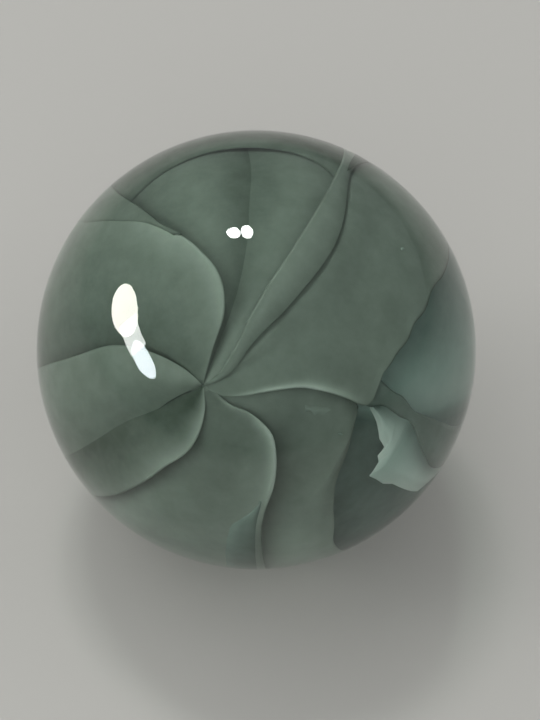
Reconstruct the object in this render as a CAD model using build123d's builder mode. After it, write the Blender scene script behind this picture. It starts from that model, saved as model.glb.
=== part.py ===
from build123d import *
import os

# A playing marble: one gather of glass, rounded on rollers into a ball.
# Its coloured ribbons are fused into the same glass, so the ball is one solid
# all through, with no core, seam or flat.
# Millimetres, +Z up, origin at the ball's centre.

marble_diameter = 16.0  # the common 5/8 in playing size

with BuildPart() as marble:
    Sphere(radius=marble_diameter / 2)
marble.part.label = "marble"

os.makedirs("parts", exist_ok=True)
export_step(marble.part, "parts/marble.step")
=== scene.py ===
import math

import bmesh
import bpy
from mathutils import Matrix, Vector


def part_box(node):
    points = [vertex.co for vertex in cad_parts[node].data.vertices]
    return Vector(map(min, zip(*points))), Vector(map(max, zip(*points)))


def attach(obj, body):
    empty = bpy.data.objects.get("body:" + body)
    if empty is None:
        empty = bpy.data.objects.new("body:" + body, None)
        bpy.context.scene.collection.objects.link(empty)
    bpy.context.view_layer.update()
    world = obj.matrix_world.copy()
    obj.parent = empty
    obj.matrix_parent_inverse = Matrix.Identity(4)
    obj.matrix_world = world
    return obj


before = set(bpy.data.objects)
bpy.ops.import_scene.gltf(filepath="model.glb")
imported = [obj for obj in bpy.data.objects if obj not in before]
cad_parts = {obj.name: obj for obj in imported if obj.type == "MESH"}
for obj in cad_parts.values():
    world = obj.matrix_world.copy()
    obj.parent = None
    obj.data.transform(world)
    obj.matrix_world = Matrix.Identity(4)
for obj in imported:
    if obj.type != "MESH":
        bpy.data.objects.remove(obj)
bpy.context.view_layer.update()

# The glass marble: a clear teal-green ball with folded veils of milky
# grey-green glass inside it. The veils all start at one point near the front
# of the ball, the pole of the swirl, and run round to a second point behind.
# Metres, in the shared frame: +Z up, the ball's centre at the origin.

ball_low, ball_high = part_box("marble")
ball_radius = (ball_high.z - ball_low.z) / 2
ball_centre = (ball_low + ball_high) / 2

# ---------------------------------------------------------------- the swirl

pole_left = 17.5   # degrees that the swirl's pole lies left of straight ahead
pole_up = 39.0     # degrees that it lies above the horizon

pole = Vector((-math.sin(math.radians(pole_left)) * math.cos(math.radians(pole_up)),
               -math.cos(math.radians(pole_left)) * math.cos(math.radians(pole_up)),
               math.sin(math.radians(pole_up))))
across = (Vector((1, 0, 0)) - pole.x * pole).normalized()
upward = pole.cross(across)


def in_ball(polar, turn, depth):
    """The point at an angle from the pole, a turn about it and a depth under the surface.
    The angles are in degrees, and the depth is a share of the radius."""
    polar, turn = math.radians(polar), math.radians(turn)
    ray = (math.sin(polar) * math.cos(turn) * across
           + math.sin(polar) * math.sin(turn) * upward
           + math.cos(polar) * pole)
    return ball_centre + ball_radius * (1 - depth) * ray


def follow(line, x):
    """The height of a smooth curve through a few (x, height) points. It stays level past its ends."""
    if x <= line[0][0]:
        return line[0][1]
    if x >= line[-1][0]:
        return line[-1][1]
    k = max(i for i, point in enumerate(line) if point[0] <= x)
    (x0, y0), (x1, y1) = line[k], line[k + 1]
    before = line[max(k - 1, 0)]
    after = line[min(k + 2, len(line) - 1)]
    span = x1 - x0
    lean0 = (y1 - before[1]) / (x1 - before[0]) * span
    lean1 = (after[1] - y0) / (after[0] - x0) * span
    s = (x - x0) / span
    return ((2 * s**3 - 3 * s**2 + 1) * y0 + (s**3 - 2 * s**2 + s) * lean0
            + (3 * s**2 - 2 * s**3) * y1 + (s**3 - s**2) * lean1)


# ---------------------------------------------------------------- materials

def srgb(r, g, b):
    def channel(c):
        c = c / 255
        return c / 12.92 if c <= 0.04045 else ((c + 0.055) / 1.055) ** 2.4
    return (channel(r), channel(g), channel(b), 1.0)


def new_material(name):
    material = bpy.data.materials.new(name)
    material.use_nodes = True
    nodes = material.node_tree.nodes
    nodes.clear()
    return material, nodes, material.node_tree.links


def clear_glass():
    material, nodes, links = new_material("clear_teal_glass")
    output = nodes.new("ShaderNodeOutputMaterial")
    mix = nodes.new("ShaderNodeMixShader")
    glass = nodes.new("ShaderNodeBsdfPrincipled")
    glass.inputs["Base Color"].default_value = (0.90, 0.97, 0.93, 1)
    glass.inputs["Roughness"].default_value = 0.0
    glass.inputs["IOR"].default_value = 1.5
    glass.inputs["Specular IOR Level"].default_value = 0.38
    glass.inputs["Transmission Weight"].default_value = 1.0
    through = nodes.new("ShaderNodeBsdfTransparent")
    through.inputs["Color"].default_value = (0.92, 0.97, 0.94, 1)
    path = nodes.new("ShaderNodeLightPath")
    links.new(path.outputs["Is Shadow Ray"], mix.inputs["Fac"])
    links.new(glass.outputs["BSDF"], mix.inputs[1])
    links.new(through.outputs["BSDF"], mix.inputs[2])
    links.new(mix.outputs["Shader"], output.inputs["Surface"])
    depth = nodes.new("ShaderNodeVolumeAbsorption")
    depth.inputs["Color"].default_value = (0.30, 0.62, 0.50, 1)
    depth.inputs["Density"].default_value = 25.0
    links.new(depth.outputs["Volume"], output.inputs["Volume"])
    return material


def milky_glass():
    """Glass clouded with colour. Milk is how much: 0 is nearly clear, 1 is dense and 2 is white.
    Teal leans it from grey-green to teal. The milk is a little uneven all through. In places the milk
    also holds painted shade and painted light, set where each sheet is made."""
    material, nodes, links = new_material("milky_veil_glass")
    output = nodes.new("ShaderNodeOutputMaterial")
    milk = nodes.new("ShaderNodeAttribute")
    milk.attribute_name = "milk"
    teal = nodes.new("ShaderNodeAttribute")
    teal.attribute_name = "teal"
    grey_ramp = nodes.new("ShaderNodeValToRGB")
    teal_ramp = nodes.new("ShaderNodeValToRGB")
    place = nodes.new("ShaderNodeTexCoord")
    grain = nodes.new("ShaderNodeTexNoise")
    grain.inputs["Scale"].default_value = 900.0
    grain.inputs["Detail"].default_value = 4.0
    grain.inputs["Roughness"].default_value = 0.65
    links.new(place.outputs["Object"], grain.inputs["Vector"])
    uneven = nodes.new("ShaderNodeMapRange")
    uneven.inputs["From Min"].default_value = 0.3
    uneven.inputs["From Max"].default_value = 0.7
    uneven.inputs["To Min"].default_value = -0.07
    uneven.inputs["To Max"].default_value = 0.07
    links.new(grain.outputs["Fac"], uneven.inputs["Value"])
    cloud = nodes.new("ShaderNodeMath")
    cloud.operation = "ADD"
    links.new(milk.outputs["Fac"], cloud.inputs[0])
    links.new(uneven.outputs["Result"], cloud.inputs[1])
    share = nodes.new("ShaderNodeMapRange")
    share.inputs["From Max"].default_value = 2.0
    links.new(cloud.outputs["Value"], share.inputs["Value"])
    for ramp, thin, dense in ((grey_ramp, grey_thin, grey_dense), (teal_ramp, teal_thin, teal_dense)):
        ramp.color_ramp.elements[0].color = thin
        ramp.color_ramp.elements[1].color = milk_white
        middle = ramp.color_ramp.elements.new(0.5)
        middle.color = dense
        links.new(share.outputs["Result"], ramp.inputs["Fac"])
    colour = nodes.new("ShaderNodeMix")
    colour.data_type = "RGBA"
    links.new(teal.outputs["Fac"], colour.inputs["Factor"])
    links.new(grey_ramp.outputs["Color"], colour.inputs[6])
    links.new(teal_ramp.outputs["Color"], colour.inputs[7])
    front = nodes.new("ShaderNodeBsdfDiffuse")
    behind = nodes.new("ShaderNodeBsdfTranslucent")
    mix = nodes.new("ShaderNodeMixShader")
    mix.inputs["Fac"].default_value = 0.4
    links.new(colour.outputs[2], front.inputs["Color"])
    links.new(colour.outputs[2], behind.inputs["Color"])
    links.new(front.outputs["BSDF"], mix.inputs[1])
    links.new(behind.outputs["BSDF"], mix.inputs[2])
    links.new(mix.outputs["Shader"], output.inputs["Surface"])
    return material


grey_thin, grey_dense = srgb(68, 82, 70), srgb(176, 190, 178)
teal_thin, teal_dense = srgb(56, 80, 68), srgb(182, 206, 197)
milk_white = srgb(240, 250, 244)

glass_finish = clear_glass()
veil_finish = milky_glass()

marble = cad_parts["marble"]
marble.data.materials.clear()
marble.data.materials.append(glass_finish)

# -------------------------------------------------------------------- veils

veil_thickness = 0.00008   # metres
faces_along, faces_across = 120, 44
merge_share = 1e-5    # points closer than this share of the radius become one
back_pole = 174       # degrees from the front pole at which the veils end
pole_blend = 26       # degrees from the front pole within which the veils sink together
pole_depth = 0.05     # the depth that they sink to, as a share of the radius
pole_shade = 0.06  # painted shade: milk taken off the veils where they crowd together near the pole
lip = 0.05            # share of a sheet's width that rolls over at its fold
lip_drop = 0.018      # how deep the roll goes, as a share of the radius
lip_out = 0.010       # how far it leans out past the fold, as a share of the radius


def sheet(name, place):
    """A curved sheet of milky glass. place(along, side) gives polar, turn, depth, milk
    and teal, for along and side from 0 to 1."""
    bm = bmesh.new()
    bmesh.ops.create_grid(bm, x_segments=faces_along, y_segments=faces_across, size=0.5)
    milk_layer = bm.verts.layers.float.new("milk")
    teal_layer = bm.verts.layers.float.new("teal")
    for v in bm.verts:
        polar, turn, depth, milk, teal = place(v.co.x + 0.5, v.co.y + 0.5)
        v.co = in_ball(polar, turn, depth)
        v[milk_layer], v[teal_layer] = milk, teal
    bmesh.ops.remove_doubles(bm, verts=bm.verts, dist=ball_radius * merge_share)
    bm.normal_update()
    if sum(face.normal.dot(face.calc_center_median() - ball_centre) for face in bm.faces) < 0:
        bmesh.ops.reverse_faces(bm, faces=bm.faces)
    mesh = bpy.data.meshes.new(name)
    bm.to_mesh(mesh)
    bm.free()
    mesh.materials.append(veil_finish)
    for face in mesh.polygons:
        face.use_smooth = True
    piece = bpy.data.objects.new(name, mesh)
    bpy.context.scene.collection.objects.link(piece)
    thick = piece.modifiers.new("thickness", "SOLIDIFY")
    thick.thickness = veil_thickness
    thick.offset = -1
    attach(piece, "root")
    return piece


def petal(name, fold, tail, depth, milk, along=((0, 0),), crest=((0, 0),), crest_width=0.06,
          lip_shade=-0.1, lip_deep=1.0, lip_along=((0, 1),), teal=0.0, first=0.5):
    """A long sheet from the front pole to the back one, between the turns of its fold and its tail.
    Depth and milk go across it, from the fold at 0 to the tail at 1. Along and crest go by the angle
    from the pole: along adds milk to the whole sheet, crest adds denser milk and a painted highlight
    beside the fold, the lip's milk darkens the roll of the fold as painted shade, and lip_along is
    how far the fold rolls over."""
    way = 1 if follow(tail, 60) > follow(fold, 60) else -1

    def place(u, side):
        polar = first + (back_pole - first) * u
        start, end = follow(fold, polar), follow(tail, polar)
        s = max(side - lip, 0) / (1 - lip)
        roll = max(1 - side / lip, 0)
        near_pole = max(1 - polar / pole_blend, 0)
        rolled = roll * (1 - near_pole) * max(follow(lip_along, polar), 0)
        lean = math.degrees(lip_out / max(math.sin(math.radians(polar)), 0.1))
        turn = start + (end - start) * s - way * lean * math.sin(roll * math.pi / 2)
        deep = follow(depth, s) + lip_drop * lip_deep * rolled ** 1.5
        # Painted shade: the lip's milk, below zero, darkens the roll of each fold where the crease lies
        # in shade.
        dense = (follow(milk, s) + follow(along, polar) + lip_shade * rolled
                 # Crest: denser milk along the fold, and partly a painted highlight there.
                 + follow(crest, polar) * math.exp(-s / crest_width))
        deep = deep + (pole_depth - deep) * near_pole
        return polar, turn, deep, max(dense - pole_shade * near_pole, 0), teal
    return sheet(name, place)


def flake(name, edge, far_edge, depth, milk, along=((0, 0),), teal=0.0, torn=False):
    """A short sheet between two lines of (polar, turn) points. Torn edges run straight
    from point to point."""
    def on_line(points, u):
        at = u * (len(points) - 1)
        k = min(int(at), len(points) - 2)
        if torn:
            s = at - k
            return tuple(p + (q - p) * s for p, q in zip(points[k], points[k + 1]))
        return tuple(follow([(i, p[axis]) for i, p in enumerate(points)], at) for axis in (0, 1))

    def place(u, side):
        (polar0, turn0), (polar1, turn1) = on_line(edge, u), on_line(far_edge, u)
        return (polar0 + (polar1 - polar0) * side, turn0 + (turn1 - turn0) * side,
                follow(depth, side), max(follow(milk, side) + follow(along, u), 0), teal)
    return sheet(name, place)


petal("upper_left_petal",
      fold=[(0, 84), (9, 79), (17, 76), (24, 80), (30, 87), (36, 97), (47, 113), (70, 127), (100, 132),
            (135, 120), (174, 100)],
      tail=[(0, 150), (26, 178), (45, 188), (70, 196), (100, 200), (135, 190), (174, 160)],
      depth=[(0, 0.03), (0.3, 0.05), (0.8, 0.12), (1, 0.25)],
      milk=[(0, 0.38), (0.25, 0.33), (0.5, 0.26), (0.8, 0.22), (1, 0.28)], lip_shade=-0.15,
      crest=[(0, 0.1), (12, 0.12), (20, 0.34), (36, 0.40), (50, 0.26), (70, 0.06)], crest_width=0.10)
petal("rim_ribbon",
      fold=[(40, 103), (47, 113), (70, 127), (100, 132), (135, 120), (174, 100)],
      tail=[(40, 106), (48, 117), (56, 129), (70, 141), (100, 150), (135, 142), (174, 120)],
      depth=[(0, 0.02), (0.8, 0.03), (1, 0.06)],
      milk=[(0, 0.30), (0.5, 0.30), (0.85, 0.29), (0.95, 0.18), (1, 0.12)], lip_shade=-0.25, first=41)
petal("left_petal",
      fold=[(0, 140), (26, 161), (40, 174), (59, 182), (80, 186), (110, 186), (174, 160)],
      tail=[(0, 200), (25, 216), (40, 226), (60, 232), (90, 234), (174, 215)],
      depth=[(0, 0.04), (0.5, 0.06), (1, 0.14)],
      milk=[(0, 0.37), (0.2, 0.34), (0.5, 0.25), (0.75, 0.18), (1, 0.16)], lip_shade=-0.2,
      along=[(0, 0.2), (20, 0.16), (32, 0.04), (174, 0.02)])
petal("lower_left_petal",
      fold=[(0, 276), (9, 266), (17, 256), (27, 241), (60, 225), (90, 221), (130, 230), (174, 240)],
      tail=[(0, 210), (27, 190), (60, 190), (90, 192), (174, 190)],
      depth=[(0, 0.03), (0.4, 0.06), (1, 0.18)],
      milk=[(0, 0.37), (0.25, 0.14), (0.5, 0.03), (1, 0.10)], lip_shade=0,
      crest=[(0, 0.1), (8, 0.34), (16, 0.46), (26, 0.44), (38, 0.12), (60, 0.04), (174, 0)],
      crest_width=0.16,
      along=[(0, 0.06), (20, 0.04), (35, 0), (50, 0), (174, 0)])
petal("lower_petal",
      fold=[(0, 335), (7, 322), (13, 328), (18, 326), (22, 322), (27, 312), (33, 301), (40, 290),
            (50, 283), (75, 276), (100, 272), (174, 280)],
      tail=[(0, 250), (30, 225), (60, 210), (100, 205), (174, 240)],
      depth=[(0, 0.04), (0.3, 0.08), (0.7, 0.09), (1, 0.16)],
      milk=[(0, 0.36), (0.5, 0.38), (1, 0.38)], lip_shade=-0.3, lip_deep=0.6,
      along=[(0, 0), (35, 0.03), (55, 0.22), (75, 0.30), (174, 0.2)],
      lip_along=[(0, 0), (13, 0.1), (19, 1), (174, 1)],
      crest=[(0, 0.0), (7, 0.3), (14, 0.34), (17, 0.74), (24, 1.05), (32, 1.0), (38, 0.55),
             (46, 0.12), (60, 0)],
      crest_width=0.05)
flake("lower_streak",
      edge=[(36, -67.5), (42, -72.3), (49, -76.2), (58, -79.8), (67, -82.5), (85, -87), (105, -91)],
      far_edge=[(38, -73), (43, -84), (49, -88), (58, -91), (67, -93), (85, -97), (105, -101)],
      depth=[(0, 0.054), (0.25, 0.040), (0.6, 0.044), (0.8, 0.050), (1, 0.064)],
      milk=[(0, 0.24), (0.3, 0.28), (1, 0.40)], along=[(0, 0.18), (0.2, 0.04), (1, 0.04)], teal=0.75)
flake("pale_smudge",
      edge=[(27.2, -11.6), (28.6, -12.4), (30.2, -11.2), (31.8, -11.8), (33.4, -10.9), (34.6, -12.2)],
      far_edge=[(27.6, -15.6), (29.0, -14.6), (30.4, -16.8), (31.6, -15.2), (33.0, -15.8), (34.2, -13.4)],
      depth=[(0, 0.086), (0.5, 0.083), (1, 0.087)],
      milk=[(0, 0.55), (0.5, 0.62), (1, 0.56)], teal=0.1, torn=True)
petal("lower_right_petal",
      fold=[(0, 368), (25, 370), (36, 364), (40.6, 354), (42.6, 348), (43.4, 339), (44, 330), (46.3, 319),
            (52.5, 310), (60, 304), (70, 298), (90, 295), (130, 298), (174, 320)],
      tail=[(0, 290), (30, 285), (60, 262), (100, 255), (174, 280)],
      depth=[(0, 0.09), (0.3, 0.09), (1, 0.2)],
      milk=[(0, 0.26), (0.08, 0.34), (0.16, 0.48), (0.3, 0.46), (1, 0.42)], lip_shade=0, lip_deep=0.3,
      along=[(0, 0.24), (10, 0.20), (20, 0.06), (42, 0.05), (52, 0.25), (62, 0.58), (72, 0.76),
             (100, 0.6), (174, 0.3)])
petal("broad_petal",
      fold=[(0, -34), (5, -22), (10, -11), (15, -4), (20, -1), (25, 0), (30.5, -2), (34, -3.6),
            (38.5, -6), (42, -8), (45, -7), (46.5, -2), (47.5, 2), (49, 4), (51, 6), (53, 8.5),
            (58, 12), (61, 15.5), (67, 18.2), (73, 22.4), (82, 24.5), (100, 30), (130, 40), (174, 60)],
      tail=[(0, 38), (30, 49), (60, 56), (77, 64), (100, 70), (174, 86)],
      depth=[(0, 0.04), (0.1, 0.05), (0.6, 0.07), (0.85, 0.065), (1, 0.09)],
      milk=[(0, 0.43), (0.9, 0.42), (1, 0.40)], lip_shade=-0.7, lip_deep=1.0,
      lip_along=[(0, 0), (9, 0.05), (17, 1), (38, 1), (43, 0.2), (47, 0), (52, 0.3), (60, 0.6), (174, 1)],
      crest=[(0, 0), (8, 0.08), (18, 0.85), (30, 1.15), (36, 0.8), (42, 0.15), (50, 0), (70, 0)],
      crest_width=0.035)
petal("narrow_ribbon",
      fold=[(0, 30), (5, 32), (10, 45), (22, 56), (44, 59), (70, 62), (100, 68), (174, 92)],
      tail=[(0, 14), (5, 20), (15, 40), (29, 44), (51, 49), (77, 60), (100, 62), (174, 80)],
      depth=[(0, 0.022), (0.5, 0.03), (1, 0.048)],
      milk=[(0, 0.50), (0.3, 0.53), (0.75, 0.48), (0.92, 0.42), (1, 0.40)])
petal("upper_petal",
      fold=[(0, 70), (22, 70), (43, 76), (53, 80), (68, 84), (100, 95), (174, 100)],
      tail=[(0, 120), (30, 130), (60, 145), (100, 150), (174, 140)],
      depth=[(0, 0.15), (0.15, 0.12), (0.4, 0.10), (1, 0.10)],
      milk=[(0, 0.16), (0.10, 0.24), (0.25, 0.35), (0.6, 0.29), (1, 0.30)], lip_shade=0, lip_deep=0,
      along=[(0, 0.12), (15, 0.10), (30, 0), (46, 0), (174, 0)])
petal("upper_valley",
      fold=[(0, 90), (22, 92), (60, 100), (100, 110), (174, 110)],
      tail=[(0, 30), (30, 40), (60, 48), (100, 58), (174, 70)],
      depth=[(0, 0.16), (0.3, 0.145), (0.6, 0.11), (1, 0.11)],
      milk=[(0, 0.22), (0.36, 0.25), (0.55, 0.40), (1, 0.46)], lip_shade=0,
      along=[(0, 0.16), (15, 0.14), (30, 0.02), (45, 0.0), (174, 0)])
flake("top_fold",
      edge=[(60, 126), (65, 119), (70, 111), (75, 100), (78, 88), (79, 78), (78, 69), (74, 62)],
      far_edge=[(98, 142), (99, 128), (101, 114), (104, 100), (106, 88), (106, 78), (104, 68), (98, 60)],
      depth=[(0, 0.095), (0.06, 0.06), (0.16, 0.035), (1, 0.03)],
      milk=[(0, 0.30), (0.06, 0.24), (0.2, 0.08), (1, 0.02)])
# Painted shade and light: this far sheet is dark teal where shade is seen through the clear glass, and
# its bright band stands for lit floor seen through it.
flake("window_depth",
      edge=[(30, 380), (60, 385), (90, 395), (120, 400), (150, 410), (174, 430)],
      far_edge=[(30, 300), (60, 285), (90, 275), (120, 270), (150, 265), (174, 250)],
      depth=[(0, 0.12), (0.5, 0.22), (1, 0.20)],
      milk=[(0, 0.58), (0.15, 0.58), (0.31, 1.12), (0.38, 1.15), (0.43, 0.50), (1, 0.54)],
      along=[(0, -0.1), (0.25, -0.06), (0.4, 0.02), (1, 0.02)], teal=1.0)
flake("window_bar",
      edge=[(38, 366), (45, 363), (52, 356), (56, 353.6), (61, 349), (67, 347), (76, 344.5), (87, 342),
            (110, 340), (140, 340), (172, 345)],
      far_edge=[(38, 356), (44.6, 350.5), (49.7, 350.5), (56, 347), (61, 345), (67, 339), (73, 334.5),
                (84, 330), (110, 329), (140, 333), (172, 343)],
      depth=[(0, 0.075), (0.12, 0.06), (0.88, 0.06), (1, 0.075)],
      milk=[(0, 0.38), (0.5, 0.36), (1, 0.34)], teal=0.5)
# Painted light: a pale torn sheet whose near-white milk stands for lit floor seen through the clear
# glass.
flake("painted_light_patch",
      edge=[(47, 349), (50.4, 344), (53.4, 338), (56.4, 335.4), (55.5, 332), (57.1, 330), (57, 324.3),
            (60, 324), (64.2, 323.1), (68, 323.8), (73.6, 322.9), (80, 322), (86.3, 321.5), (89.3, 323.4),
            (95, 326)],
      far_edge=[(48, 351), (51, 350), (54, 349), (57, 348), (60, 347), (62, 346), (64, 344), (66, 342),
                (69, 340), (72, 337), (75, 335), (80, 333), (86, 331.5), (91, 330.5), (97, 330)],
      depth=[(0, 0.13), (0.3, 0.105), (0.6, 0.115), (1, 0.14)],
      milk=[(0, 1.95), (0.3, 1.6), (1, 1.15)],
      along=[(0, -0.2), (0.3, 0), (0.45, -0.4), (0.6, -0.1), (0.8, 0.15), (1, 0.15)], teal=0.9, torn=True)


def fleck(bm, polar, turn, depth, wide, long):
    """A small uneven seed of trapped white in the glass."""
    made = bmesh.ops.create_icosphere(bm, subdivisions=2, radius=1.0)
    centre = in_ball(polar, turn, depth)
    out = (centre - ball_centre).normalized()
    aside = out.cross(pole).normalized()
    onward = aside.cross(out)
    for v in made["verts"]:
        bump = 1 + 0.25 * math.sin(5 * v.co.x + polar) * math.cos(4 * v.co.y + turn)
        v.co = centre + ball_radius * bump * (v.co.x * wide * aside + v.co.y * long * onward
                                              + v.co.z * min(wide, long) * 0.5 * out)


fleck_milk, fleck_teal = 0.62, 0.3

flecks_bm = bmesh.new()
fleck(flecks_bm, 69, 35.7, 0.03, 0.008, 0.012)
fleck(flecks_bm, 39.2, -22.4, 0.080, 0.007, 0.012)
flecks_milk = flecks_bm.verts.layers.float.new("milk")
flecks_teal = flecks_bm.verts.layers.float.new("teal")
for v in flecks_bm.verts:
    v[flecks_milk], v[flecks_teal] = fleck_milk, fleck_teal
flecks_mesh = bpy.data.meshes.new("flecks")
flecks_bm.to_mesh(flecks_mesh)
flecks_bm.free()
flecks_mesh.materials.append(veil_finish)
for face in flecks_mesh.polygons:
    face.use_smooth = True
flecks = bpy.data.objects.new("flecks", flecks_mesh)
bpy.context.scene.collection.objects.link(flecks)
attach(flecks, "root")


collar_reach = 15   # degrees from the pole
collar_milk, collar_teal = 0.30, 0.1
collar_depth = ((0, 0.054), (4, 0.075), (8, 0.13), (collar_reach, 0.26))


def pole_cap(along, side):
    """The collar of milky glass that the veils run together in, at the front pole."""
    polar = collar_reach * along
    return polar, 360 * side, follow(collar_depth, polar), collar_milk, collar_teal


sheet("pole_collar", pole_cap)

# ----------------------------------------------------------- floor and light

floor_reach = ball_radius * 60
floor_fade = ball_radius * 4, ball_radius * 20   # where the floor starts and stops darkening


def floor_material():
    """Pale near the ball and darker far off, so that no horizon line shows in the glass."""
    material, nodes, links = new_material("pale_floor")
    output = nodes.new("ShaderNodeOutputMaterial")
    shader = nodes.new("ShaderNodeBsdfPrincipled")
    shader.inputs["Roughness"].default_value = 0.9
    place = nodes.new("ShaderNodeTexCoord")
    away = nodes.new("ShaderNodeVectorMath")
    away.operation = "LENGTH"
    far = nodes.new("ShaderNodeMapRange")
    far.inputs["From Min"].default_value, far.inputs["From Max"].default_value = floor_fade
    tone = nodes.new("ShaderNodeValToRGB")
    tone.color_ramp.elements[0].color = srgb(179, 178, 173)
    tone.color_ramp.elements[1].color = srgb(108, 108, 107)
    links.new(place.outputs["Object"], away.inputs[0])
    links.new(away.outputs["Value"], far.inputs["Value"])
    links.new(far.outputs["Result"], tone.inputs["Fac"])
    links.new(tone.outputs["Color"], shader.inputs["Base Color"])
    links.new(shader.outputs["BSDF"], output.inputs["Surface"])
    return material


floor_bm = bmesh.new()
bmesh.ops.create_grid(floor_bm, x_segments=1, y_segments=1, size=floor_reach)
bmesh.ops.translate(floor_bm, verts=floor_bm.verts, vec=(0, 0, ball_low.z))
floor_mesh = bpy.data.meshes.new("floor")
floor_bm.to_mesh(floor_mesh)
floor_bm.free()
floor_mesh.materials.append(floor_material())
floor = bpy.data.objects.new("floor", floor_mesh)
bpy.context.scene.collection.objects.link(floor)

camera_up = 50.0        # degrees above the horizon
look_back = Vector((0, -math.cos(math.radians(camera_up)), math.sin(math.radians(camera_up))))
look_up = Vector((0, math.sin(math.radians(camera_up)), math.cos(math.radians(camera_up))))
look_right = Vector((1, 0, 0))


def seen_at(right, up, toward):
    """A direction given as the camera sees it."""
    return (right * look_right + up * look_up + toward * look_back).normalized()


def lamp(name, direction, width, height, radiance, shape="RECTANGLE", upright=Vector((0, 0, 1))):
    """A lamp that faces the ball. Its width and height are shares of how far off it stands."""
    width, height = reach * width, reach * height
    data = bpy.data.lights.new(name, "AREA")
    data.shape = shape
    data.size, data.size_y = width, height
    data.energy = radiance * math.pi * width * height
    light = bpy.data.objects.new(name, data)
    sideways = upright.cross(direction).normalized()
    turned = Matrix((sideways, direction.cross(sideways), direction)).transposed()
    light.rotation_mode = "QUATERNION"
    light.rotation_quaternion = turned.to_quaternion()
    light.location = ball_centre + direction * reach
    bpy.context.scene.collection.objects.link(light)
    return light


def soft_lamp(name, direction, spread, radiance):
    """A large soft lamp that gives light but no reflection."""
    light = lamp(name, direction.normalized(), spread, spread, radiance)
    light.visible_glossy = False
    light.visible_transmission = False
    return light


reach = ball_radius * 40   # how far off every lamp stands
window_radiance = 16.0
ceiling_radiance = 28.0
window_tilt = seen_at(-0.062, 0.593, -0.418)
for name, direction, width, height, shape, tint in (
        ("window_upper", seen_at(-0.890, 0.265, 0.260), 0.27, 0.42, "ELLIPSE", (1.0, 0.97, 0.88)),
        ("window_middle", seen_at(-0.885, 0.100, 0.390), 0.18, 0.26, "RECTANGLE", (0.95, 0.98, 0.95)),
        ("window_lower", seen_at(-0.845, -0.080, 0.500), 0.16, 0.34, "ELLIPSE", (0.86, 0.94, 1.0))):
    pane = lamp(name, direction, width, height, window_radiance, shape, window_tilt)
    pane.data.color = tint
    pane.visible_diffuse = False   # soft_window gives the window's light
soft_lamp("soft_window", seen_at(-0.88, 0.13, 0.36), 0.35, 4.0)
lamp("ceiling_left", seen_at(-0.170, 0.876, 0.459), 0.10, 0.12, ceiling_radiance, "ELLIPSE")
lamp("ceiling_right", seen_at(-0.068, 0.874, 0.459), 0.09, 0.14, ceiling_radiance, "ELLIPSE")
soft_lamp("soft_top", Vector((-0.5, 0.2, 1)), 1.0, 1.15)
soft_lamp("soft_front", Vector((-0.1, -1, 0.8)), 1.0, 1.2)
soft_lamp("soft_left", Vector((-1, -0.2, 0.6)), 0.8, 0.1)
soft_lamp("soft_right", Vector((1, -0.1, 0.7)), 0.8, 0.9)
soft_lamp("soft_back", Vector((0, 1, 0.7)), 0.8, 0.6)

world = bpy.data.worlds.new("studio")
bpy.context.scene.world = world
world.use_nodes = True
world.node_tree.nodes["Background"].inputs["Color"].default_value = (0.95, 0.97, 1.0, 1)
world.node_tree.nodes["Background"].inputs["Strength"].default_value = 0.21

lens, sensor = 184, 36              # millimetres
stand_off = ball_radius * 16.76     # from the point aimed at to the camera
aim_right, aim_down = 0.0625, 0.0465   # from the ball's centre, as shares of its radius

camera_data = bpy.data.cameras.new("camera")
camera_data.lens = lens
camera_data.sensor_width = sensor
camera = bpy.data.objects.new("camera", camera_data)
bpy.context.scene.collection.objects.link(camera)
bpy.context.scene.camera = camera
aim = ball_centre + look_right * ball_radius * aim_right - look_up * ball_radius * aim_down
camera.location = aim + look_back * stand_off
camera.rotation_mode = "QUATERNION"
camera.rotation_quaternion = (-look_back).to_track_quat("-Z", "Y")
camera_data.clip_start, camera_data.clip_end = 0.001, 10   # metres

bpy.context.scene.view_settings.view_transform = "Standard"
